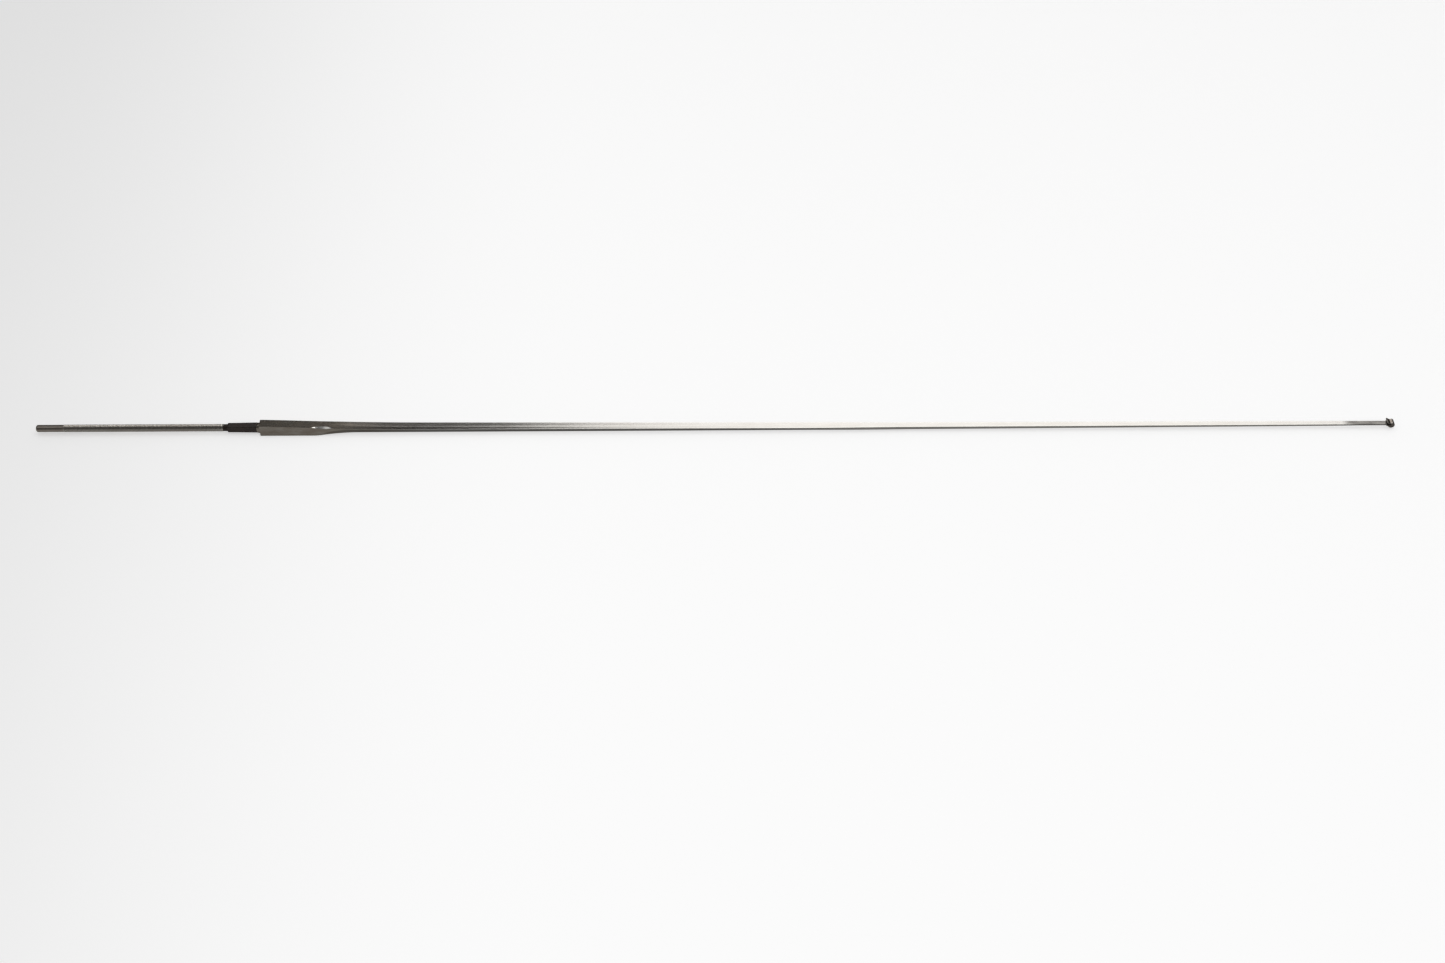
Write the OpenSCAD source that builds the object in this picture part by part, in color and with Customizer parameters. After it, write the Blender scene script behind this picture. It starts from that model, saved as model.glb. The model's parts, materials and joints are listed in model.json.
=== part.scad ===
// Bare fencing sabre blade, full size. X runs along the blade towards its button, Z is up out of the
// grooved back, and the origin is on the tang's axis in the plane of the shoulder that seats the guard.
// The real blade is one steel forging. Each node is one worked zone of it, and the zones beyond the
// forte's heel are parted by narrow slits, so that a chain of sprung hinges can stand for its bending.

/* [Tang] */
// Length of the plain end that the thread rolling leaves
tang_end_length = 21; // [10:1:40]
// Diameter of the plain end
tang_end_d = 5.6; // [5.2:0.1:5.7]
// Length of the rolled thread
thread_length = 124; // [60:1:160]
// Major diameter of the rolled M6 thread
thread_d = 5.96; // [5.8:0.02:5.98]
// Length of the plain neck between the thread and the shank
neck_length = 3.5; // [1:0.5:8]
// Diameter of the neck
neck_d = 5.6; // [5:0.1:5.6]
// Length of the square shank, up to the shoulder
shank_length = 25; // [15:1:40]
// Width of the square shank beside the neck
shank_start_w = 5.8; // [5.4:0.1:6]
// Width of the square shank at the shoulder
shank_end_w = 6.2; // [5.4:0.1:6.4]
// Chamfer along the shank's corners
shank_chamfer = 0.5; // [0.2:0.1:1]
// How far the domed collar stands out of the shoulder
collar_length = 2.4; // [1:0.2:4]
// Ledge of flat shoulder left around the collar
shoulder_ledge = 0.6; // [0.3:0.1:1.2]

/* [Blade lengths] */
// Length from the shoulder to the end of the button
blade_length = 880; // [860:1:880]
// Length of the rectangular ricasso
ricasso_length = 43.5; // [30:0.5:60]
// Station where the V section is fully formed
v_start = 76; // [65:1:90]
// Station where the V section starts to flatten
v_end = 430; // [400:5:440]
// Station where the section is a flat strip
strip_start = 500; // [480:5:530]
// Length of the flattened tip, button left out
tip_flat_length = 35; // [20:1:35]
// Length of the button along the blade
button_length = 6.5; // [4:0.5:8]

/* [Ricasso] */
// Width of the ricasso, side to side
ricasso_w = 7.8; // [7:0.1:9]
// Back of the ricasso above the tang's axis, at the shoulder
ricasso_back = 4.8; // [4:0.1:5.2]
// Underside of the ricasso below the tang's axis
ricasso_under = 5.6; // [5:0.1:6]

/* [V section] */
// Width of the back where the V section starts
forte_w = 8.2; // [7.4:0.1:8.6]
// Width of the back where the V section ends
middle_w = 6.6; // [6:0.1:7]
// Width of the blunt lower edge
edge_w = 1.5; // [1:0.1:2]
// Height of the upright rims beside the groove
rim_h = 0.7; // [0.4:0.1:1]
// Width of the flat land on top of each rim
rim_land = 0.6; // [0.4:0.1:1]
// Depth of the groove in the back, at its deepest
groove_depth = 1.4; // [0.6:0.1:1.6]

/* [Strip] */
// Width of the strip where it starts
strip_w = 5.4; // [4.8:0.1:6]
// Width of the strip at the tip
tip_w = 4.1; // [4:0.1:4.5]
// Thickness of the strip where it starts
strip_t = 2.5; // [2.2:0.1:2.8]
// Thickness of the strip where the flattened tip starts
strip_end_t = 1.5; // [1.4:0.1:1.8]
// Thickness of the flattened tip
tip_t = 1.25; // [1.2:0.05:1.4]

/* [Button] */
// Width of the button
button_w = 5.5; // [4.5:0.1:6]
// Height of the folded button
button_h = 5.9; // [4.5:0.1:6]
// Diameter of the eye left inside the fold
button_eye_d = 1.2; // [0.8:0.1:1.6]

/* [Flex] */
// Slit between two zones that bend against each other
slit = 0.25; // [0.22:0.01:0.35]

/* [Hidden] */
$fn = 48;

// Places along X where the tang's zones meet, counted back from the shoulder
neck_x = -shank_length;
thread_x = neck_x - neck_length;
plain_x = thread_x - thread_length;
tang_x = plain_x - tang_end_length;
end_chamfer = 0.8;

// Places along X where the blade bends, each midway between two zones
flex = [190, 270, 350, 430, 500, 560, 620, 680, 740, 795];
tip_x = blade_length - button_length;
tip_flat_x = tip_x - tip_flat_length;

// Heights of the back and of the lower edge at the stations between which the blade tapers
groove_full = 110;
groove_end = 480;
back_at_v_start = 1.8;
v_start_drop = 0.2;
back_at_forte = 0.9;
back_at_tip = -0.2;
forte_x = 145;
edge_at_forte = -4.9;
edge_at_v_end = -4.6;

// Share of the way from a to b: straight, eased at both ends, or eased into b only
function part_way(x, a, b) = min(1, max(0, (x - a) / (b - a)));
function eased(x, a, b) = let (t = part_way(x, a, b)) t * t * (3 - 2 * t);
function settling(x, a, b) = let (t = part_way(x, a, b)) t * (2 - t);
function mix(a, b, t) = a + (b - a) * t;

// Width of the back, height of the back and depth of the groove at station x
function back_w(x) =
    x < v_start ? mix(ricasso_w, forte_w, settling(x, ricasso_length, v_start))
    : x < v_end ? mix(forte_w, middle_w, part_way(x, v_start, v_end))
    : x < strip_start ? mix(middle_w, strip_w, eased(x, v_end, strip_start))
    : mix(strip_w, tip_w, part_way(x, strip_start, tip_flat_x));
function back_z(x) =
    x <= v_start ? mix(ricasso_back, back_at_v_start, eased(x, -ricasso_length / 3, v_start + 10))
        - v_start_drop * eased(x, v_start - 16, v_start)
    : x < forte_x ? mix(back_z(v_start), back_at_forte, settling(x, v_start, forte_x))
    : mix(back_at_forte, back_at_tip, part_way(x, forte_x, v_end));
function groove(x) =
    groove_depth * eased(x, ricasso_length, groove_full) * (1 - part_way(x, groove_full, groove_end));

// How far the section at station x has turned from rectangle to V, and from V to flat strip
function v_share(x) = settling(x, ricasso_length, v_start) - eased(x, v_end, strip_start);
function strip_thickness(x) =
    x < tip_flat_x ? mix(strip_t, strip_end_t, part_way(x, strip_start, tip_flat_x))
    : mix(strip_end_t, tip_t, eased(x, tip_flat_x, tip_flat_x + tip_flat_length / 3));
function lower_z(x) =
    x < forte_x ? mix(-ricasso_under, edge_at_forte, settling(x, ricasso_length, v_start))
    : x < v_end ? mix(edge_at_forte, edge_at_v_end, part_way(x, forte_x, v_end))
    : x < strip_start
        ? mix(edge_at_v_end, back_z(x) - strip_t, eased(x, v_end, strip_start))
    : back_z(x) - strip_thickness(x);
function lower_w(x) = mix(back_w(x), edge_w, v_share(x));
function side_h(x) = mix(back_z(x) - lower_z(x) - 0.1, rim_h, v_share(x));

// The section's outline at station x, as nine points [x, y, z] that run round it
function outline(x) =
    let (w = back_w(x) / 2, top = back_z(x), low = lower_z(x), foot = lower_w(x) / 2,
         knee = top - side_h(x))
    [[x, w, top], [x, w - rim_land, top], [x, 0, top - max(groove(x), 0.001)],
     [x, rim_land - w, top], [x, -w, top], [x, -w, knee], [x, -foot, low], [x, foot, low],
     [x, w, knee]];

// A closed solid through rings of points that all have the same count. Each end is a fan of triangles
// from its third point, which is the groove's bottom on the blade, so that a hollow end closes cleanly.
module loft(rings) {
    n = len(rings[0]);
    last = len(rings) - 1;
    fan = [for (i = [3:n]) [2, i % n, (i + 1) % n]];
    walls = [for (k = [0:last - 1]) for (i = [0:n - 1])
        let (a = k * n + i, b = k * n + (i + 1) % n)
        each [[a, b, b + n], [a, b + n, a + n]]];
    polyhedron(
        points = [for (ring = rings) each ring],
        faces = concat(
            [for (f = fan) [f[2], f[1], f[0]]],
            walls,
            [for (f = fan) [for (i = f) last * n + i]]),
        convexity = 4);
}

// A stretch of blade from a to b, with a ring about every step millimetres
module stretch(a, b, step = 12) {
    rings = max(2, ceil((b - a) / step) + 1);
    loft([for (i = [0:rings - 1]) outline(mix(a, b, i / (rings - 1)))]);
}

// The zone that lies between bend k and bend k + 1, half a slit short at each
module zone(k, end = undef) {
    stretch(flex[k] + slit / 2, is_undef(end) ? flex[k + 1] - slit / 2 : end);
}

// A round rod along X from a to b, with a chamfer at its far end
module rod(a, b, d, chamfer = 0) {
    translate([a, 0, 0]) rotate([0, 90, 0])
        rotate_extrude()
            polygon([[0, 0], [d / 2 - chamfer, 0], [d / 2, chamfer], [d / 2, b - a], [0, b - a]]);
}

module tang_end() {
    color("#70675f") rod(tang_x, plain_x, tang_end_d, end_chamfer);
}

module tang_thread() {
    color("#8c877c") rod(plain_x, thread_x, thread_d);
}

module tang_neck() {
    color("#392e29") rod(thread_x, neck_x, neck_d);
}

// The outline of a square of width w with chamfered corners, at station x
function shank_ring(x, w) =
    let (h = w / 2, c = h - shank_chamfer)
    [for (p = [[h, c], [c, h], [-c, h], [-h, c], [-h, -c], [-c, -h], [c, -h], [h, -c]])
        [x, p[0], p[1]]];

module tang_shank() {
    lead = 0.4;
    color("#312a27") loft([
        shank_ring(neck_x, shank_start_w - lead),
        shank_ring(neck_x + lead, shank_start_w),
        shank_ring(-collar_length, shank_end_w)]);
}

// A shallow dome on a nearly oval foot that narrows from the shoulder to the shank
module shoulder_collar() {
    rings = 6;
    corners = 32;
    squareness = 0.8;
    foot_w = ricasso_w / 2 - shoulder_ledge;
    foot_h = (ricasso_back + ricasso_under) / 2 - shoulder_ledge;
    foot_z = (ricasso_back - ricasso_under) / 2;
    top_w = shank_end_w / 2 + 0.1;
    function ring(r) =
        let (w = mix(top_w, foot_w, r), h = mix(top_w, foot_h, r))
        [for (i = [0:corners - 1]) let (a = 360 * i / corners, c = cos(a), s = sin(a))
            [-collar_length * (1 - r * r),
             w * sign(c) * pow(abs(c), squareness),
             foot_z * r + h * sign(s) * pow(abs(s), squareness)]];
    color("#605c55") loft([for (k = [0:rings]) ring(k / rings)]);
}

// The ricasso's side outline, extruded across its width
module ricasso() {
    steps = 15;
    back = [for (i = [steps:-1:0]) let (x = ricasso_length * i / steps) [x, back_z(x)]];
    color("#605c55") rotate([90, 0, 0])
        linear_extrude(height = ricasso_w, center = true)
            polygon(concat([[0, -ricasso_under], [ricasso_length, -ricasso_under]], back));
}

module ricasso_taper() {
    color("#605c55") stretch(ricasso_length, v_start, 3);
}

module forte_heel() {
    color("#68625b") stretch(v_start, flex[0] - slit / 2);
}

module forte_mid() {
    color("#68625b") zone(0);
}

module forte_end() {
    color("#7a756d") zone(1);
}

module middle_heel() {
    color("#7a756d") zone(2);
}

module middle_mid() {
    color("#8a867e") zone(3);
}

module middle_end() {
    color("#8a867e") zone(4);
}

// The five equal-looking zones of the flat strip, numbered from the hilt
module foible(number) {
    color("#a4a099") zone(number + 4, number == 5 ? tip_flat_x : undef);
}

module tip_flat() {
    color("#8f8b84") stretch(tip_flat_x, tip_x);
}

// The strip's end folded back on itself: a rounded block across the blade, with the fold's eye through it
module tip_button() {
    corner = 1.6;
    middle_z = back_at_tip - tip_t / 2 + 0.3;
    color("#45413c") translate([tip_x + button_length / 2, 0, middle_z]) rotate([90, 0, 0])
        difference() {
            linear_extrude(height = button_w, center = true) {
                square([button_length, button_h - 2 * corner], center = true);
                square([button_length - 2 * corner, button_h], center = true);
                for (x = [-1, 1], z = [-1, 1])
                    translate([x * (button_length / 2 - corner), z * (button_h / 2 - corner)])
                        circle(r = corner);
            }
            translate([-0.4, button_h / 2 - 2 * tip_t - 0.2, 0])
                cylinder(d = button_eye_d, h = button_w + 1, center = true);
        }
}

tang_end();
tang_thread();
tang_neck();
tang_shank();
shoulder_collar();
ricasso();
ricasso_taper();
forte_heel();
forte_mid();
forte_end();
middle_heel();
middle_mid();
middle_end();
foible(1);  // foible_1
foible(2);  // foible_2
foible(3);  // foible_3
foible(4);  // foible_4
foible(5);  // foible_5
tip_flat();
tip_button();
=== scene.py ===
"""A bare fencing sabre blade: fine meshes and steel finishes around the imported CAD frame."""

import json
import math

import bmesh
import bpy
import numpy as np
from mathutils import Matrix, Vector


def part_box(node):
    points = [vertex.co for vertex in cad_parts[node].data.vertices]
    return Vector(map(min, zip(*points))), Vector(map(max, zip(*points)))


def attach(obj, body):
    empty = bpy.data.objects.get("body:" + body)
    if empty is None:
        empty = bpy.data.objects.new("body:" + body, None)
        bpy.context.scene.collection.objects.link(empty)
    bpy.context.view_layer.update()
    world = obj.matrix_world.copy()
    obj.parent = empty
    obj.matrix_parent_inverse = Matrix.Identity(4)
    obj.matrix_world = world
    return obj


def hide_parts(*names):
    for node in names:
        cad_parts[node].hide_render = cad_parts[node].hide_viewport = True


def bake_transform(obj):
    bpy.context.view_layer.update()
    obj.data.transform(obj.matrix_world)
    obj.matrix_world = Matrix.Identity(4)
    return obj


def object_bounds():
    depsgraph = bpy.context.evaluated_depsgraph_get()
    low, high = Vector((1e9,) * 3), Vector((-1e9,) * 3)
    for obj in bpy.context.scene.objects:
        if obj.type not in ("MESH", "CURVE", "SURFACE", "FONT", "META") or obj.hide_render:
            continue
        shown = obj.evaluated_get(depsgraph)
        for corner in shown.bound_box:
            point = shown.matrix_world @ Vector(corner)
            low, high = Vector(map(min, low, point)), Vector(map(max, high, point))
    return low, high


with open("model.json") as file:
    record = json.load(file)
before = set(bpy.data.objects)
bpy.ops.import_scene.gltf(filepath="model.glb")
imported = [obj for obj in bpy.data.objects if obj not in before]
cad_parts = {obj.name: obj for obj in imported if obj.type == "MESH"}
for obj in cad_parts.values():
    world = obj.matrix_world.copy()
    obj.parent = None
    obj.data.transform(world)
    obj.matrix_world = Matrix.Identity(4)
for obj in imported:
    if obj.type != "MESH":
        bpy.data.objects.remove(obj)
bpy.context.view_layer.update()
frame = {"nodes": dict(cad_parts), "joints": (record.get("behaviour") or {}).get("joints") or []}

MM = 0.001

# The camera looks at the blade from in front and above. The values say what the frame shows at the blade.
VIEW_WIDTH = 1.1213
VIEW_DISTANCE = 1.6
VIEW_CENTRE_X = 0.3585
BLADE_ABOVE_CENTRE = 0.0436
CAMERA_ELEVATION = math.radians(44.5)
CAMERA_ROLL = math.radians(0.266)
SENSOR_WIDTH = 36.0

# The lamps' power in watts, and how bright the room is around them
FLOOR_WATTS, BACK_WATTS, TOP_WATTS = 10, 62, 3.4
ROOM_STRENGTH = 0.25

# The light table reaches this far each way, and its glow rises along X between these two places
FLOOR_REACH = 25.0
GLOW_START, GLOW_STOP = -0.45, 0.30
GLOW_AT_TANG, GLOW_AT_BLADE = 0.42, 0.60


# ---------------------------------------------------------------- camera, light and floor

def make_camera():
    """A camera square to the blade, rolled a little, with the blade above the frame's centre."""
    forward = Vector((0, math.cos(CAMERA_ELEVATION), -math.sin(CAMERA_ELEVATION)))
    right = Vector((1, 0, 0))
    up = right.cross(forward)
    target = Vector((VIEW_CENTRE_X, 0, 0)) - up * BLADE_ABOVE_CENTRE
    rolled_right = right * math.cos(CAMERA_ROLL) - up * math.sin(CAMERA_ROLL)
    rolled_up = up * math.cos(CAMERA_ROLL) + right * math.sin(CAMERA_ROLL)
    data = bpy.data.cameras.new("camera")
    data.sensor_width = SENSOR_WIDTH
    data.lens = SENSOR_WIDTH * VIEW_DISTANCE / VIEW_WIDTH
    data.clip_start = 0.01
    camera = bpy.data.objects.new("camera", data)
    turn = Matrix((rolled_right, rolled_up, -forward)).transposed().to_4x4()
    camera.matrix_world = Matrix.Translation(target - forward * VIEW_DISTANCE) @ turn
    bpy.context.scene.collection.objects.link(camera)
    bpy.context.scene.camera = camera


def area_light(name, place, aim, size, power, lights_floor=True, mirrored=True):
    """A softbox at place, facing aim. It can be kept off the floor, or out of the steel's reflections."""
    data = bpy.data.lights.new(name, "AREA")
    data.shape = "RECTANGLE"
    data.size, data.size_y = size
    data.energy = power
    light = bpy.data.objects.new(name, data)
    light.location = place
    light.rotation_euler = (Vector(aim) - Vector(place)).to_track_quat("-Z", "Y").to_euler()
    light.visible_diffuse = lights_floor
    light.visible_glossy = mirrored
    bpy.context.scene.collection.objects.link(light)


def make_light():
    """A softbox over the floor, and two cards that the steel mirrors: behind the blade and above the tang."""
    area_light("floor_box", (0.55, -0.35, 2.2), (0.55, -0.35, 0), (2.4, 2.0), FLOOR_WATTS, mirrored=False)
    area_light("back_card", (0.80, 1.27, 1.27), (0.80, 0, 0), (1.50, 2.4), BACK_WATTS, lights_floor=False)
    area_light("top_card", (-0.72, -0.05, 1.8), (-0.72, -0.05, 0), (0.85, 0.9), TOP_WATTS, lights_floor=False)
    world = bpy.data.worlds.new("room")
    world.use_nodes = True
    background = world.node_tree.nodes["Background"]
    background.inputs["Color"].default_value = (1.0, 1.0, 1.0, 1)
    background.inputs["Strength"].default_value = ROOM_STRENGTH
    bpy.context.scene.world = world
    bpy.context.scene.view_settings.view_transform = "Standard"


def make_floor():
    """A pale light table. Its glow, less towards the tang, keeps the blade's shadow faint."""
    low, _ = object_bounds()
    mesh = bpy.data.meshes.new("floor")
    corners = [(-1, -1), (1, -1), (1, 1), (-1, 1)]
    points = [(x * FLOOR_REACH, y * FLOOR_REACH, low[2]) for x, y in corners]
    mesh.from_pydata(points, [], [(0, 1, 2, 3)])
    floor = bpy.data.objects.new("floor", mesh)
    bpy.context.scene.collection.objects.link(floor)
    material = bpy.data.materials.new("floor")
    material.use_nodes = True
    nodes, links = material.node_tree.nodes, material.node_tree.links
    shader = nodes["Principled BSDF"]
    shader.inputs["Base Color"].default_value = (0.90, 0.90, 0.90, 1)
    shader.inputs["Roughness"].default_value = 0.9
    shader.inputs["Specular IOR Level"].default_value = 0.0
    shader.inputs["Emission Color"].default_value = (1.0, 1.0, 1.0, 1)
    split = nodes.new("ShaderNodeSeparateXYZ")
    glow = nodes.new("ShaderNodeMapRange")
    glow.interpolation_type = "SMOOTHERSTEP"
    for socket, value in (("From Min", GLOW_START), ("From Max", GLOW_STOP),
                          ("To Min", GLOW_AT_TANG), ("To Max", GLOW_AT_BLADE)):
        glow.inputs[socket].default_value = value
    links.new(nodes.new("ShaderNodeTexCoord").outputs["Object"], split.inputs["Vector"])
    links.new(split.outputs["X"], glow.inputs["Value"])
    links.new(glow.outputs["Result"], shader.inputs["Emission Strength"])
    mesh.materials.append(material)


# ---------------------------------------------------------------- materials

# A mix node repeats its socket names for each kind of data, so its colour sockets are known by their places
MIX_SHARE, MIX_FIRST, MIX_SECOND, MIX_RESULT = 0, 6, 7, 2


class Finish:
    """Builds one node material step by step."""

    def __init__(self, name, metallic=1.0):
        self.material = bpy.data.materials.new(name)
        self.material.use_nodes = True
        self.tree = self.material.node_tree
        self.shader = self.tree.nodes["Principled BSDF"]
        self.shader.inputs["Metallic"].default_value = metallic
        self.place = self.tree.nodes.new("ShaderNodeTexCoord").outputs["Object"]

    def link(self, output, target):
        self.tree.links.new(output, target)

    def noise(self, scale, detail=4.0, roughness=0.55, distortion=0.0):
        """Noise with features about 1 / scale metres long along each axis."""
        mapping = self.tree.nodes.new("ShaderNodeMapping")
        mapping.inputs["Scale"].default_value = scale
        self.link(self.place, mapping.inputs["Vector"])
        noise = self.tree.nodes.new("ShaderNodeTexNoise")
        noise.inputs["Scale"].default_value = 1.0
        noise.inputs["Detail"].default_value = detail
        noise.inputs["Roughness"].default_value = roughness
        noise.inputs["Distortion"].default_value = distortion
        self.link(mapping.outputs["Vector"], noise.inputs["Vector"])
        return noise.outputs["Fac"]

    def ramp(self, value, stops):
        """Colours at places from 0 to 1 along value."""
        node = self.tree.nodes.new("ShaderNodeValToRGB")
        elements = node.color_ramp.elements
        for element, (place, colour) in zip((elements[0], elements[1]), (stops[0], stops[-1])):
            element.position = place
            element.color = (*colour, 1)
        for place, colour in stops[1:-1]:
            elements.new(place).color = (*colour, 1)
        self.link(value, node.inputs["Fac"])
        return node.outputs["Color"]

    def span(self, value, low, high, start=0.3, stop=0.7):
        """value, taken from start..stop to low..high."""
        node = self.tree.nodes.new("ShaderNodeMapRange")
        node.inputs["From Min"].default_value = start
        node.inputs["From Max"].default_value = stop
        node.inputs["To Min"].default_value = low
        node.inputs["To Max"].default_value = high
        self.link(value, node.inputs["Value"])
        return node.outputs["Result"]

    def mix(self, share, first, second):
        """The colours first and second mixed by share. Each is a socket or a value."""
        node = self.tree.nodes.new("ShaderNodeMix")
        node.data_type = "RGBA"
        for value, place in ((share, MIX_SHARE), (first, MIX_FIRST), (second, MIX_SECOND)):
            if isinstance(value, bpy.types.NodeSocket):
                self.link(value, node.inputs[place])
            elif place == MIX_SHARE:
                node.inputs[place].default_value = value
            else:
                node.inputs[place].default_value = (*value, 1)
        return node.outputs[MIX_RESULT]

    def maths(self, first, second, operation="MULTIPLY"):
        """first and second, each a socket or a number, combined by one operation."""
        node = self.tree.nodes.new("ShaderNodeMath")
        node.operation = operation
        for value, place in ((first, 0), (second, 1)):
            if isinstance(value, bpy.types.NodeSocket):
                self.link(value, node.inputs[place])
            else:
                node.inputs[place].default_value = value
        return node.outputs["Value"]

    def mark(self, name):
        """The number from 0 to 1 that the mesh holds under name at each of its points."""
        node = self.tree.nodes.new("ShaderNodeAttribute")
        node.attribute_name = name
        return node.outputs["Fac"]

    def worn(self):
        """1 on the rounded corners of the mesh, 0 on its flats."""
        return self.mark("worn")

    def fresh_and_sheen(self):
        """1 where a grinding wheel has cut through the skin. The lighter colour laid there is partly a
        painted highlight.
        """
        return self.mark("fresh_and_sheen")

    def along(self, noise, spread):
        """The place along X in metres, shifted by the noise by up to half of spread either way."""
        split = self.tree.nodes.new("ShaderNodeSeparateXYZ")
        self.link(self.place, split.inputs["Vector"])
        shift = self.maths(self.maths(noise, 0.5, "SUBTRACT"), spread)
        return self.maths(split.outputs["X"], shift, "ADD")

    def bump(self, height, distance, strength=1.0):
        node = self.tree.nodes.new("ShaderNodeBump")
        node.inputs["Distance"].default_value = distance
        node.inputs["Strength"].default_value = strength
        self.link(height, node.inputs["Height"])
        self.link(node.outputs["Normal"], self.shader.inputs["Normal"])

    def edge_tint(self, level):
        """Dims the mirror that any metal becomes at a glancing angle, as a fine ground surface does."""
        self.shader.inputs["Specular Tint"].default_value = (level, level, level, 1)

    def colour(self, socket):
        self.link(socket, self.shader.inputs["Base Color"])

    def rough(self, socket):
        self.link(socket, self.shader.inputs["Roughness"])


# The ricasso's coarse brown-grey skin gives way to the blade's polish over this stretch
POLISH_START, POLISH_STOP = 55 * MM, 130 * MM
# The polish gives way again over this length of the flattened tip
TIP_FADE = 9 * MM
# Both changes are cloudy: they come up to half of this early or late
CLOUD_SPREAD = 12 * MM


def bar_finish(slot):
    """Ground steel that is blotched and brown on the ricasso and belt-polished along the blade. Its ground
    facet is painted lighter, partly fresh steel and partly a painted highlight.
    """
    f = Finish(slot)
    grain = f.noise((60, 5000, 5000), detail=5)
    scratch = f.noise((300, 2500, 2500), detail=6)
    blotch = f.noise((90, 260, 260), detail=5, distortion=0.4)
    patch = f.noise((30, 90, 90), detail=4)
    polish = f.span(f.along(blotch, CLOUD_SPREAD), 0, 1, POLISH_START, POLISH_STOP)

    raw = f.ramp(blotch, [(0.30, (0.100, 0.084, 0.067)), (0.52, (0.138, 0.125, 0.105)),
                          (0.72, (0.185, 0.177, 0.159))])
    raw = f.mix(f.span(patch, 0, 0.5), raw, (0.108, 0.085, 0.066))
    raw = f.mix(f.span(scratch, 0, 0.2), raw, (0.26, 0.25, 0.23))
    raw = f.mix(f.maths(f.worn(), 0.3), raw, (0.06, 0.05, 0.045))

    belt = f.ramp(grain, [(0.25, (0.145, 0.139, 0.130)), (0.75, (0.200, 0.195, 0.186))])
    belt = f.mix(f.span(patch, 0, 0.35), belt, (0.130, 0.120, 0.107))
    belt = f.mix(f.maths(f.worn(), 0.3), belt, (0.30, 0.29, 0.28))

    tone = f.mix(polish, raw, belt)
    # The ground facet is painted lighter: partly bare fresh-cut steel, partly a painted highlight for the
    # light that the facet catches.
    f.colour(f.mix(f.fresh_and_sheen(), tone, (0.34, 0.335, 0.32)))
    f.rough(f.mix(polish, f.span(blotch, 0.27, 0.18), f.span(grain, 0.20, 0.29)))
    f.bump(f.maths(scratch, blotch, "ADD"), 0.03 * MM, 0.5)
    f.edge_tint(0.35)
    return f.material


def scale_finish():
    """Black forge scale with a rusty brown bloom, flaked at the corners."""
    f = Finish("scaled_steel", metallic=0.35)
    flake = f.noise((900, 900, 900), detail=6)
    bloom = f.noise((140, 220, 220), detail=4)
    tone = f.ramp(flake, [(0.3, (0.011, 0.009, 0.009)), (0.7, (0.028, 0.022, 0.019))])
    tone = f.mix(f.span(bloom, 0, 0.6), tone, (0.034, 0.022, 0.016))
    tone = f.mix(f.maths(f.worn(), f.span(flake, 0, 0.5)), tone, (0.08, 0.073, 0.066))
    f.colour(tone)
    f.shader.inputs["Specular IOR Level"].default_value = 0.35
    f.rough(f.span(flake, 0.62, 0.42))
    f.edge_tint(0.5)
    f.bump(flake, 0.06 * MM, 0.8)
    return f.material


def thread_finish():
    """Bright rolled thread, darker down in its roots."""
    f = Finish("thread_steel")
    grain = f.noise((1500, 1500, 1500), detail=4)
    cloud = f.noise((40, 200, 200), detail=3)
    tone = f.ramp(grain, [(0.3, (0.25, 0.237, 0.215)), (0.7, (0.35, 0.338, 0.312))])
    tone = f.mix(f.span(cloud, 0, 0.4), tone, (0.21, 0.186, 0.158))
    tone = f.mix(f.span(f.worn(), 0.75, 0.0, 0.0, 1.0), tone, (0.09, 0.073, 0.060))
    f.colour(tone)
    f.rough(f.span(cloud, 0.24, 0.36))
    f.bump(grain, 0.01 * MM, 0.5)
    f.edge_tint(0.4)
    return f.material


def rolled_finish():
    """Dull drawn bar, brownish, with lengthwise die lines."""
    f = Finish("rolled_steel")
    line = f.noise((80, 3500, 3500), detail=4)
    cloud = f.noise((150, 300, 300), detail=4)
    tone = f.ramp(line, [(0.3, (0.155, 0.138, 0.120)), (0.7, (0.225, 0.208, 0.188))])
    tone = f.mix(f.span(cloud, 0, 0.6), tone, (0.12, 0.095, 0.076))
    f.colour(tone)
    f.rough(f.span(cloud, 0.26, 0.38))
    f.edge_tint(0.5)
    f.bump(line, 0.02 * MM, 0.6)
    return f.material


def tip_finish():
    """The flattened tip: the belt polish gives way to a matt, cloudy cross-grind."""
    f = Finish("tip_steel")
    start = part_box("tip_flat")[0][0]
    grain = f.noise((4500, 300, 300), detail=5)
    cloud = f.noise((70, 250, 250), detail=4)
    tone = f.ramp(grain, [(0.3, (0.120, 0.114, 0.106)), (0.7, (0.165, 0.158, 0.148))])
    tone = f.mix(f.span(cloud, 0, 0.8), tone, (0.068, 0.064, 0.060))
    ground = f.span(f.along(cloud, CLOUD_SPREAD), 0, 1, start, start + TIP_FADE)
    f.colour(f.mix(ground, (0.172, 0.167, 0.158), tone))
    f.rough(f.mix(ground, (0.24, 0.24, 0.24), f.span(cloud, 0.42, 0.58)))
    f.edge_tint(0.5)
    f.bump(grain, 0.01 * MM, 0.6)
    return f.material


def button_finish():
    """Steel painted dark as a painted reflection of the dark room that the polished fold mirrors, worn bright
    where the fold is proud.
    """
    f = Finish("button_steel")
    grain = f.noise((1200, 1200, 1200), detail=5)
    cloud = f.noise((350, 350, 350), detail=4)
    # The dark tone is a painted reflection: it stands in for the dark surroundings that the polished fold
    # mirrors.
    tone = f.ramp(cloud, [(0.3, (0.036, 0.029, 0.024)), (0.7, (0.090, 0.081, 0.071))])
    tone = f.mix(f.maths(f.worn(), 0.5), tone, (0.24, 0.23, 0.215))
    f.colour(tone)
    f.rough(f.span(grain, 0.16, 0.28))
    f.bump(grain, 0.01 * MM, 0.5)
    f.edge_tint(0.5)
    return f.material


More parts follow.
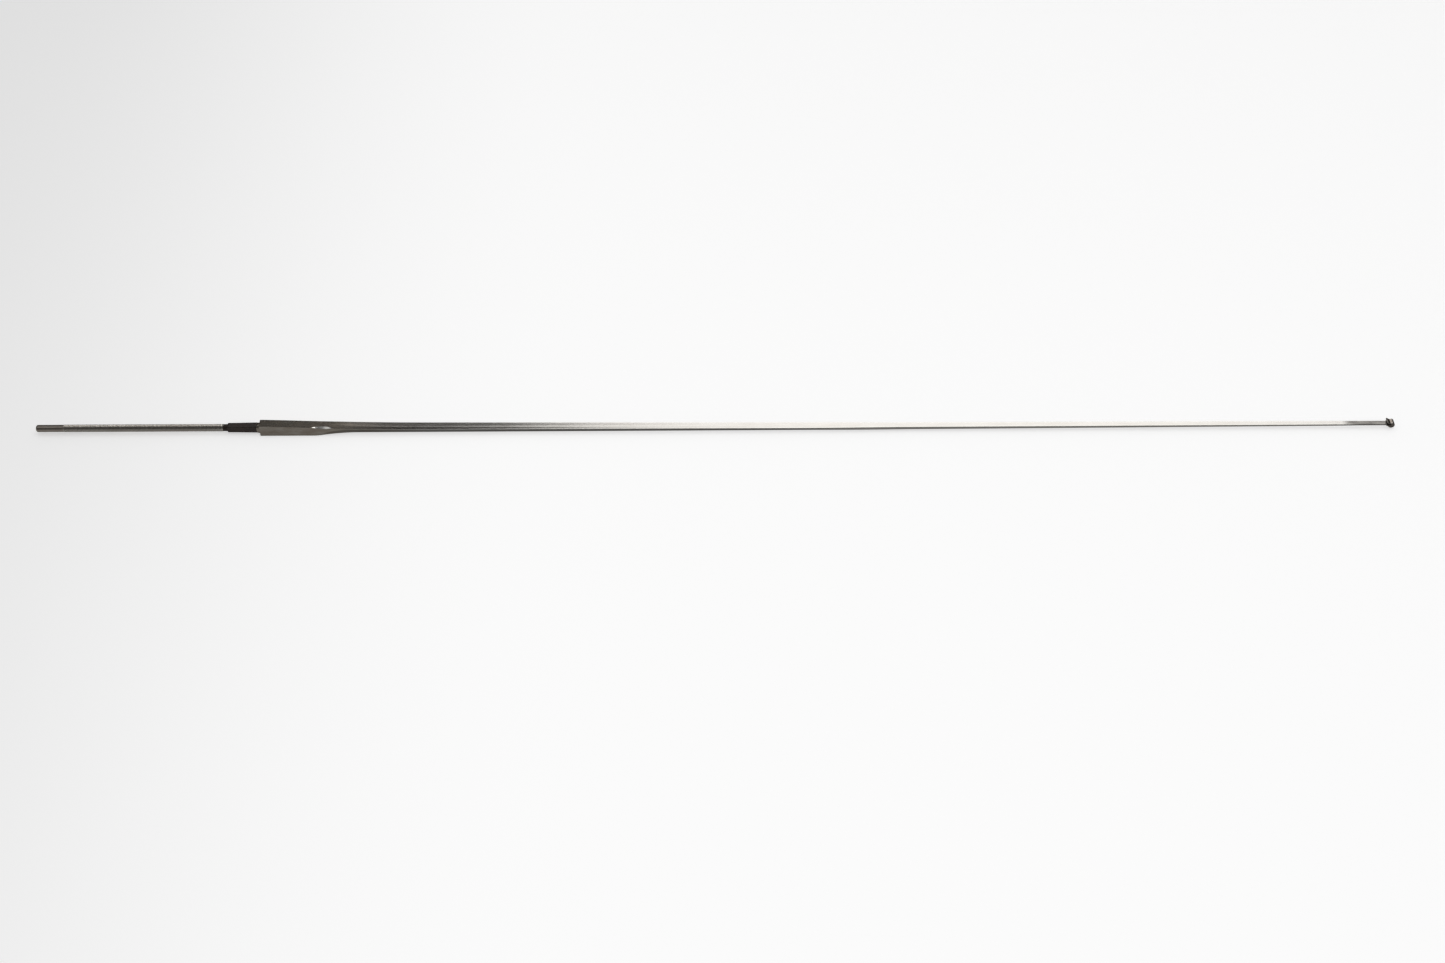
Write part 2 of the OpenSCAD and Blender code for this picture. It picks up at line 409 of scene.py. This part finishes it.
FINISHES = {
    "blade_steel": lambda: bar_finish("blade_steel"),
    "ground_steel": lambda: bar_finish("ground_steel"),
    "scaled_steel": scale_finish,
    "thread_steel": thread_finish,
    "rolled_steel": rolled_finish,
    "tip_steel": tip_finish,
    "button_steel": button_finish,
}
made_finishes = {}


def finish_named(slot):
    if slot not in made_finishes:
        made_finishes[slot] = FINISHES[slot]()
    return made_finishes[slot]


# ---------------------------------------------------------------- meshes

def new_piece(name, points, faces, slot, worn, fresh_and_sheen=None, sharp_angle=30):
    """A mesh object with its finish. worn and fresh hold a number from 0 to 1 for each point."""
    mesh = bpy.data.meshes.new(name)
    mesh.from_pydata([tuple(p) for p in points], [], faces)
    mesh.shade_smooth()
    for mark, values in (("worn", worn), ("fresh_and_sheen", fresh_and_sheen)):
        values = np.zeros(len(points)) if values is None else np.asarray(values)
        mesh.attributes.new(mark, "FLOAT", "POINT").data.foreach_set("value", values.astype(np.float32))
    mesh.set_sharp_from_angle(angle=math.radians(sharp_angle))
    mesh.materials.append(finish_named(slot))
    piece = bpy.data.objects.new(name, mesh)
    bpy.context.scene.collection.objects.link(piece)
    return piece


def wall_faces(count, n):
    """The four-sided faces between count rings of n points each."""
    return [(k * n + i, k * n + (i + 1) % n, (k + 1) * n + (i + 1) % n, (k + 1) * n + i)
            for k in range(count - 1) for i in range(n)]


def loft(rings, worn):
    """A closed solid through rings of n points each, with a fan at each end. worn has a row for each ring."""
    rings = np.asarray(rings, float)
    count, n = rings.shape[:2]
    faces = wall_faces(count, n)
    first, last, base = count * n, count * n + 1, (count - 1) * n
    for i in range(n):
        j = (i + 1) % n
        faces += [(first, j, i), (last, base + i, base + j)]
    points = np.vstack([rings.reshape(-1, 3), rings[0].mean(0), rings[-1].mean(0)])
    return points, faces, np.append(np.asarray(worn, float).ravel(), (0, 0))


ARC_POINTS = 5
# How far outside each arc its extra point lies, and the largest shares of a side that the arc and it may take
HOLD = 0.05 * MM
ARC_SHARE, HOLD_SHARE = 0.40, 0.46


def rounded(corners, radii):
    """A closed outline with rounded corners, and for each of its points a mark that is 0 on the flats and 1
    halfway round an arc.

    A point just outside each arc keeps the flat beside it flat when it is shaded smooth."""
    corners = np.asarray(corners, float)
    points, worn = [], []
    for i, corner in enumerate(corners):
        arms, holds = [], []
        for other in (corners[i - 1], corners[(i + 1) % len(corners)]):
            arm = other - corner
            length = max(np.linalg.norm(arm), 1e-9)
            arms.append(corner + arm / length * min(radii[i], ARC_SHARE * length))
            holds.append(corner + arm / length * min(radii[i] + HOLD, HOLD_SHARE * length))
        points.append(holds[0])
        worn.append(0.0)
        for t in np.linspace(0, 1, ARC_POINTS):
            points.append((1 - t) ** 2 * arms[0] + 2 * t * (1 - t) * corner + t * t * arms[1])
            worn.append(0.2 + 0.8 * math.sin(math.pi * t))
        points.append(holds[1])
        worn.append(0.0)
    return np.array(points), np.array(worn)


def eased(x, a, b):
    """0 up to a, 1 from b on, and a smooth rise between."""
    t = np.clip((x - a) / (b - a), 0, 1)
    return t * t * (3 - 2 * t)


# ---------------------------------------------------------------- the blade's section, read from the CAD

def node_points(name):
    """The points of a CAD node, rounded so that the same place always reads the same."""
    mesh = frame["nodes"][name].data
    co = np.zeros(len(mesh.vertices) * 3)
    mesh.vertices.foreach_get("co", co)
    return np.round(co.reshape(-1, 3), 7)


BLADE_NODES = ["ricasso_taper", "forte_heel", "forte_mid", "forte_end", "middle_heel", "middle_mid",
               "middle_end", "foible_1", "foible_2", "foible_3", "foible_4", "foible_5", "tip_flat"]

# On the ricasso, which has no groove, the land beside the groove starts this far in from the side
RIM_LAND = 0.6 * MM
# Places on a section that differ by less than this count as the same
SAME = 0.01 * MM


def cad_stations():
    """For each station along X, the seven sizes of the CAD section there, on its +Y side."""
    rows = {}
    ricasso = node_points("ricasso")
    width, under = ricasso[:, 1].max(), ricasso[:, 2].min()
    for x in np.unique(ricasso[:, 0]):
        back = ricasso[ricasso[:, 0] == x][:, 2].max()
        rows[x] = [width, back, width - RIM_LAND, under, width, under, back]
    for name in BLADE_NODES:
        points = node_points(name)
        for x in np.unique(np.round(points[:, 0], 5)):
            ring = points[np.abs(points[:, 0] - x) < SAME][:, 1:]
            side = ring[ring[:, 0] > SAME]
            back, edge, width = side[:, 1].max(), side[:, 1].min(), side[:, 0].max()
            on_back = side[side[:, 1] > back - SAME]
            foot = side[side[:, 1] < edge + SAME][:, 0].max()
            upright = side[side[:, 0] > width - SAME]
            knee = upright[upright[:, 1] > edge + SAME][:, 1].min()
            groove = ring[np.abs(ring[:, 0]) < SAME][:, 1].min()
            rows[x] = [width, back, on_back[:, 0].min(), knee, foot, edge, groove]
    stations = np.array(sorted(rows))
    return stations, np.array([rows[x] for x in stations])


# The sizes are averaged over this many fine stations, one step apart
SMOOTH_STEP = 1.0 * MM
SMOOTH_SPAN = 9
V_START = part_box("forte_heel")[0][0]
V_END, STRIP_START = [next(j["pos_m"][0] for j in frame["joints"] if j["name"] == name)
                      for name in ("flex_middle_mid", "flex_middle_end")]
STATIONS, SIZES = cad_stations()
FINE_STATIONS = np.arange(STATIONS[0], STATIONS[-1] + SMOOTH_STEP, SMOOTH_STEP)


def smoothed(column):
    """One size at the fine stations, averaged over a few millimetres so that no facet shows."""
    values = np.interp(FINE_STATIONS, STATIONS, column)
    padded = np.pad(values, SMOOTH_SPAN // 2, mode="reflect", reflect_type="odd")
    return np.convolve(padded, np.ones(SMOOTH_SPAN) / SMOOTH_SPAN, mode="valid")


FINE_SIZES = np.array([smoothed(column) for column in SIZES.T])

# Where the V section starts, a grinding wheel has cut a lens-shaped facet into the near corner of the back
LENS_START, LENS_STOP = 40.8 * MM, 57.0 * MM
LENS_WIDTH, LENS_DROP = 2.03 * MM, 0.95 * MM
RICASSO_RADIUS = 0.33 * MM
V_RADIUS = 0.20 * MM
STRIP_RADIUS = 0.14 * MM
GROOVE_RADIUS = 1.1 * MM
# Which corners of the outline lie on the near side of the back: inside the rim, and on it
NEAR_LAND, NEAR_RIM = 3, 4


def blade_outline(x):
    """The rounded outline of the blade at station x, how worn each point is, and how freshly ground."""
    w, back, land, knee, foot, edge, groove = [np.interp(x, FINE_STATIONS, size) for size in FINE_SIZES]
    across = 2 * (x - LENS_START) / (LENS_STOP - LENS_START) - 1
    lens = max(0.0, 1 - across * across)
    near_land = land + lens * (w - LENS_WIDTH - land)
    radius = RICASSO_RADIUS + (V_RADIUS - RICASSO_RADIUS) * eased(x, LENS_START, V_START)
    radius += (STRIP_RADIUS - V_RADIUS) * eased(x, V_END, STRIP_START)
    foot = min(foot, w - radius)
    knee = max(knee, edge + radius)
    corners = [(w, back), (land, back), (0, groove), (-near_land, back), (-w, back - lens * LENS_DROP),
               (-w, knee), (-foot, edge), (foot, edge), (w, knee)]
    land_radius, rim_radius = radius * (1 - 0.6 * lens), radius * (1 - 0.8 * min(1, 3 * lens))
    radii = [radius, radius, GROOVE_RADIUS, land_radius, rim_radius, radius, radius, radius, radius]
    points, worn = rounded(corners, radii)
    per_corner = len(points) // len(corners)
    worn[2 * per_corner:3 * per_corner] = 0
    fresh_and_sheen = np.zeros(len(points))
    facet = slice((NEAR_LAND + 1) * per_corner - 2, NEAR_RIM * per_corner + 2)
    fresh_and_sheen[facet] = min(1, 6 * lens)
    return [(x, y, z) for y, z in points], worn * (1 - fresh_and_sheen), fresh_and_sheen


RING_STEP = 1.6 * MM


def blade_stretch(name, start, stop, slot):
    """A closed solid of the blade from one station to another."""
    count = max(3, round((stop - start) / RING_STEP) + 1)
    rings, worn, fresh_and_sheen = zip(*[blade_outline(x) for x in np.linspace(start, stop, count)])
    points, faces, worn = loft(rings, worn)
    fresh_and_sheen = np.append(np.ravel(fresh_and_sheen), (0, 0))
    return new_piece(name, points, faces, slot, worn, fresh_and_sheen)


# ---------------------------------------------------------------- the tang

TURN_POINTS = 40


def circle_ring(x, radius):
    turn = np.arange(TURN_POINTS) * 2 * math.pi / TURN_POINTS
    return np.column_stack([np.full(TURN_POINTS, x), radius * np.cos(turn), radius * np.sin(turn)])


def lathe(name, profile, slot):
    """A turned piece along X through (x, radius, worn) stations."""
    rings = [circle_ring(x, radius) for x, radius, _ in profile]
    worn = [np.full(TURN_POINTS, w) for _, _, w in profile]
    points, faces, values = loft(rings, worn)
    return new_piece(name, points, faces, slot, values, sharp_angle=50)


def make_tang_end():
    """The plain end of the rod, chamfered, with faint ripples from drawing."""
    low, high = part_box("tang_end")
    radius = high[2]
    lead, ripple, wave = 0.8 * MM, 0.012 * MM, 1.7 * MM
    profile = [(low[0], radius - lead * 1.05, 0.2), (low[0] + 0.15 * MM, radius - lead * 0.80, 1.0),
               (low[0] + lead * 0.85, radius - 0.10 * MM, 1.0), (low[0] + lead * 1.3, radius, 0.4)]
    for x in np.linspace(low[0] + 2 * MM, high[0] - 1 * MM, 12):
        profile.append((x, radius - ripple + ripple * math.sin(x / wave), 0))
    profile.append((high[0], radius, 0.3))
    return lathe("tang_end_rod", profile, "rolled_steel")


THREAD_PITCH = 1.0 * MM
THREAD_DEPTH = 0.55 * MM
# The thread runs out over this length at each end, to this far below its crests
RUN_OUT, RUN_OUT_DROP = 1.2 * THREAD_PITCH, 0.12 * MM
# One pitch of a rolled thread: place along it, and height from root to crest
THREAD_FORM = [(0.00, 0.0), (0.14, 0.30), (0.34, 0.93), (0.50, 1.0), (0.66, 0.93), (0.86, 0.30)]


def make_thread():
    """A right-hand helix as one skin whose rows follow the crests, run out smoothly at both ends."""
    low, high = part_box("tang_thread")
    crest = high[2]
    turns = int(round((high[0] - low[0]) / THREAD_PITCH)) + 2
    steps = len(THREAD_FORM)
    rows = turns * steps
    points, worn = [], []
    for k in range(rows + 1):
        place, height = THREAD_FORM[k % steps]
        for j in range(TURN_POINTS):
            around = j / TURN_POINTS
            x = low[0] + (k // steps - 1 + place + around) * THREAD_PITCH
            from_end = min(x - low[0], high[0] - x)
            run_out = eased(from_end, 0, RUN_OUT)
            depth = THREAD_DEPTH * (1 - height) * run_out + RUN_OUT_DROP * (1 - run_out)
            radius = crest - depth
            turn = 2 * math.pi * around
            points.append((min(max(x, low[0]), high[0]), radius * math.cos(turn), radius * math.sin(turn)))
            worn.append(height * run_out + 0.6 * (1 - run_out))
    faces = []
    for k in range(rows):
        for j in range(TURN_POINTS - 1):
            a = k * TURN_POINTS + j
            faces.append((a, a + 1, a + 1 + TURN_POINTS, a + TURN_POINTS))
        if k + steps + 1 <= rows:
            a, b = k * TURN_POINTS + TURN_POINTS - 1, (k + steps) * TURN_POINTS
            faces.append((a, b, b + TURN_POINTS, a + TURN_POINTS))
    points, faces, worn = merged(points, faces, worn)
    piece = new_piece("tang_thread_helix", points, faces, "thread_steel", worn, sharp_angle=180)
    close_ends(piece)
    return piece


SAME_POINT = 0.0005 * MM


def merged(points, faces, worn):
    """The mesh with points that share a place made one, and faces that this flattens taken out."""
    keys = np.round(np.asarray(points) / SAME_POINT).astype(np.int64)
    _, first, index = np.unique(keys, axis=0, return_index=True, return_inverse=True)
    index = index.ravel()
    kept, seen = [], set()
    for face in faces:
        loop = []
        for i in (index[corner] for corner in face):
            if i not in loop:
                loop.append(int(i))
        if len(loop) > 2 and frozenset(loop) not in seen:
            seen.add(frozenset(loop))
            kept.append(tuple(loop))
    return np.asarray(points)[first], kept, np.asarray(worn)[first]


def close_ends(piece):
    """Fills the open end loops and drops points that no face uses."""
    edit = bmesh.new()
    edit.from_mesh(piece.data)
    bmesh.ops.delete(edit, geom=[v for v in edit.verts if not v.link_faces], context="VERTS")
    bmesh.ops.holes_fill(edit, edges=[e for e in edit.edges if e.is_boundary], sides=0)
    bmesh.ops.recalc_face_normals(edit, faces=edit.faces)
    edit.to_mesh(piece.data)
    edit.free()


def make_neck():
    """The short neck, a little uneven under its scale."""
    low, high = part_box("tang_neck")
    radius = high[2]
    ripple, wave = 0.03 * MM, 0.5 * MM
    profile = [(low[0], radius - 0.05 * MM, 0)]
    for x in np.linspace(low[0] + 0.3 * MM, high[0], 8):
        profile.append((x, radius - ripple * (1 + math.sin(x / wave)), 0))
    return lathe("tang_neck_rod", profile, "scaled_steel")


def squarish_ring(x, half, corner, wobble):
    """A rounded square of hammered steel: its flats lie a little in or out, by wobble."""
    flat = half + wobble
    c = half - corner
    corners = [(flat, -c), (flat, c), (c, flat), (-c, flat),
               (-flat, c), (-flat, -c), (-c, -flat), (c, -flat)]
    points, worn = rounded(corners, [corner * 0.8] * 8)
    return [(x, y, z) for y, z in points], worn


def make_shank():
    """The forged square, which thickens towards the shoulder and starts with a step up from the neck."""
    low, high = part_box("tang_shank")
    step_length, step_height = 0.52 * MM, 0.2 * MM
    corner, taper = 0.55 * MM, 0.2 * MM
    end_half = high[2] - 0.02 * MM
    start_half = end_half - taper
    rings = []
    for x in np.linspace(low[0], high[0], 40):
        share = (x - low[0]) / (high[0] - low[0])
        half = start_half + (end_half - start_half) * share
        half -= step_height * (1 - eased(x, low[0], low[0] + step_length))
        wobble = 0.02 * MM * (math.sin(x / (2.3 * MM)) + math.sin(x / (5.1 * MM) + 1)) - 0.04 * MM
        rings.append(squarish_ring(x, half, corner, wobble))
    points, faces, worn = loft([r[0] for r in rings], [r[1] for r in rings])
    return new_piece("tang_shank_bar", points, faces, "scaled_steel", worn)


def make_collar():
    """A shallow dome on an oval foot, standing out of the shoulder around the shank."""
    low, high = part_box("shoulder_collar")
    foot_y, foot_z = high[1], (high[2] - low[2]) / 2
    foot_middle = (high[2] + low[2]) / 2
    top_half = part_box("tang_shank")[1][2] + 0.05 * MM
    rings, worn = [], []
    count = 14
    for k in range(count):
        spread = k / (count - 1)
        x = high[0] - (high[0] - low[0]) * (1 - spread * spread)
        ring = []
        for j in range(TURN_POINTS):
            turn = 2 * math.pi * j / TURN_POINTS
            square = 0.5 + 0.4 * spread
            y = math.copysign(abs(math.cos(turn)) ** square, math.cos(turn))
            z = math.copysign(abs(math.sin(turn)) ** square, math.sin(turn))
            ring.append((x,
                         y * (top_half + (foot_y - top_half) * spread),
                         foot_middle * spread + z * (top_half + (foot_z - top_half) * spread)))
        rings.append(ring)
        worn.append(np.full(TURN_POINTS, 0.6 * spread ** 3))
    points, faces, values = loft(rings, worn)
    return new_piece("shoulder_collar_dome", points, faces, "ground_steel", values, sharp_angle=60)


# ---------------------------------------------------------------- the button

# The side outline of the fold in millimetres from the button's middle, X and Z. The strip comes in from
# the left and bends up around the eye, and its free end stands up at the left as an ear.
BEND_MIDDLE, BEND_RADIUS, BEND_TURN = (0.65, -0.35), 2.6, (-145, 70)
SADDLE_AND_EAR = [(1.54, 2.09), (1.0, 2.10), (0.30, 1.80), (-0.45, 1.72), (-1.2, 2.05), (-1.9, 2.55),
                  (-2.4, 2.88), (-2.75, 2.92), (-3.02, 2.70), (-3.20, 2.25), (-3.05, 1.85), (-2.5, 1.40),
                  (-1.8, 1.00), (-1.05, 0.68)]
EYE_MIDDLE, EYE_RADIUS, EYE_TURN = (-0.45, 0.30), 0.6, (145, -145)
STRIP_AND_BELLY = [(-1.05, 0.10), (-1.9, 0.28), (-2.7, 0.325), (-3.25, 0.325), (-3.25, -0.30),
                   (-3.25, -0.925), (-2.7, -1.02), (-2.1, -1.35), (-1.48, -1.84)]
BEND_POINTS, EYE_POINTS, CURVE_STEPS = 26, 14, 3
# How far in from its sides the button's edge rounds, and by how much
BUTTON_EDGE, BUTTON_INSET = 0.7 * MM, 0.26 * MM
BUTTON_RINGS = 21


def smooth_curve(points):
    """Points along a Catmull-Rom curve through the given ones."""
    points = [np.array(p, float) for p in points]
    padded = [2 * points[0] - points[1], *points, 2 * points[-1] - points[-2]]
    out = []
    for a, b, c, d in zip(padded, padded[1:], padded[2:], padded[3:]):
        for k in range(CURVE_STEPS):
            t = k / CURVE_STEPS
            out.append(0.5 * (2 * b + (c - a) * t + (2 * a - 5 * b + 4 * c - d) * t * t
                              + (3 * b - a - 3 * c + d) * t ** 3))
    return out + [points[-1]]


def arc(middle, radius, turn, count):
    """count points round an arc that goes from the first angle of turn to the second, in degrees."""
    return [(middle[0] + radius * math.cos(t), middle[1] + radius * math.sin(t))
            for t in np.radians(np.linspace(*turn, count))]


def make_button():
    """The fold's side outline carried across the blade, with its long edges rounded."""
    low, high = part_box("tip_button")
    bend = arc(BEND_MIDDLE, BEND_RADIUS, BEND_TURN, BEND_POINTS)
    eye = arc(EYE_MIDDLE, EYE_RADIUS, EYE_TURN, EYE_POINTS)
    outline = bend[1:-1] + smooth_curve(SADDLE_AND_EAR) + eye[1:-1] + smooth_curve(STRIP_AND_BELLY)
    outline = np.array(outline) * MM + np.array([(low[0] + high[0]) / 2, (low[2] + high[2]) / 2])
    along = np.roll(outline, -1, axis=0) - np.roll(outline, 1, axis=0)
    inward = np.column_stack([-along[:, 1], along[:, 0]]) / np.linalg.norm(along, axis=1)[:, None]
    rings, worn = [], []
    for share in np.sin(np.linspace(-math.pi / 2, math.pi / 2, BUTTON_RINGS)):
        y = high[1] * share
        depth = max(0.0, (abs(y) - (high[1] - BUTTON_EDGE)) / BUTTON_EDGE)
        inner = outline + inward * BUTTON_INSET * (1 - math.sqrt(1 - min(1, depth) ** 2))
        rings.append([(x, y, z) for x, z in inner])
        worn.append(np.full(len(outline), math.sin(math.pi * depth)))
    faces = wall_faces(len(rings), len(outline))
    piece = new_piece("tip_button_fold", np.array(rings).reshape(-1, 3), faces, "button_steel",
                      np.array(worn).ravel(), sharp_angle=40)
    close_ends(piece)
    return piece


# ---------------------------------------------------------------- the assembly

def make_blade():
    """The blade's rigid stretches, and one stretch across each hinge, from midway to midway."""
    joints = sorted(frame["joints"], key=lambda j: j["pos_m"][0])
    hinges = [j["pos_m"][0] for j in joints]
    tip_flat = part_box("tip_flat")
    middles = [(a + b) / 2 for a, b in zip(hinges, hinges[1:] + [tip_flat[0][0]])]
    first = hinges[0] - (middles[0] - hinges[0])
    ricasso_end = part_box("ricasso")[1][0]
    v_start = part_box("forte_heel")[0][0]

    rigid = [("ricasso_block", 0.0, ricasso_end, "ground_steel", "hilt_end", ["ricasso"]),
             ("ricasso_taper_block", ricasso_end, v_start, "ground_steel", "hilt_end", ["ricasso_taper"]),
             ("forte_heel_bar", v_start, first, "blade_steel", "hilt_end", ["forte_heel"]),
             ("foible_end_strip", middles[-1], tip_flat[0][0], "blade_steel", "tip", ["foible_5"]),
             ("tip_flat_strip", tip_flat[0][0], tip_flat[1][0], "tip_steel", "tip", ["tip_flat"])]
    for name, start, stop, slot, body, nodes in rigid:
        piece = blade_stretch(name, start, stop, slot)
        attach(piece, body)
        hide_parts(*nodes)

    for k, joint in enumerate(joints):
        start, stop = (first if k == 0 else middles[k - 1]), middles[k]
        piece = blade_stretch(joint["child"] + "_bend", start, stop, "blade_steel")
        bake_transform(piece)
        if joint["child"] != "tip":
            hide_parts(joint["child"])


def make_tang_and_button():
    for make, node in ((make_tang_end, "tang_end"), (make_thread, "tang_thread"), (make_neck, "tang_neck"),
                       (make_shank, "tang_shank"), (make_collar, "shoulder_collar")):
        piece = make()
        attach(piece, "hilt_end")
        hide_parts(node)
    button = make_button()
    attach(button, "tip")
    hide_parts("tip_button")


make_camera()
make_light()
make_floor()
make_tang_and_button()
make_blade()
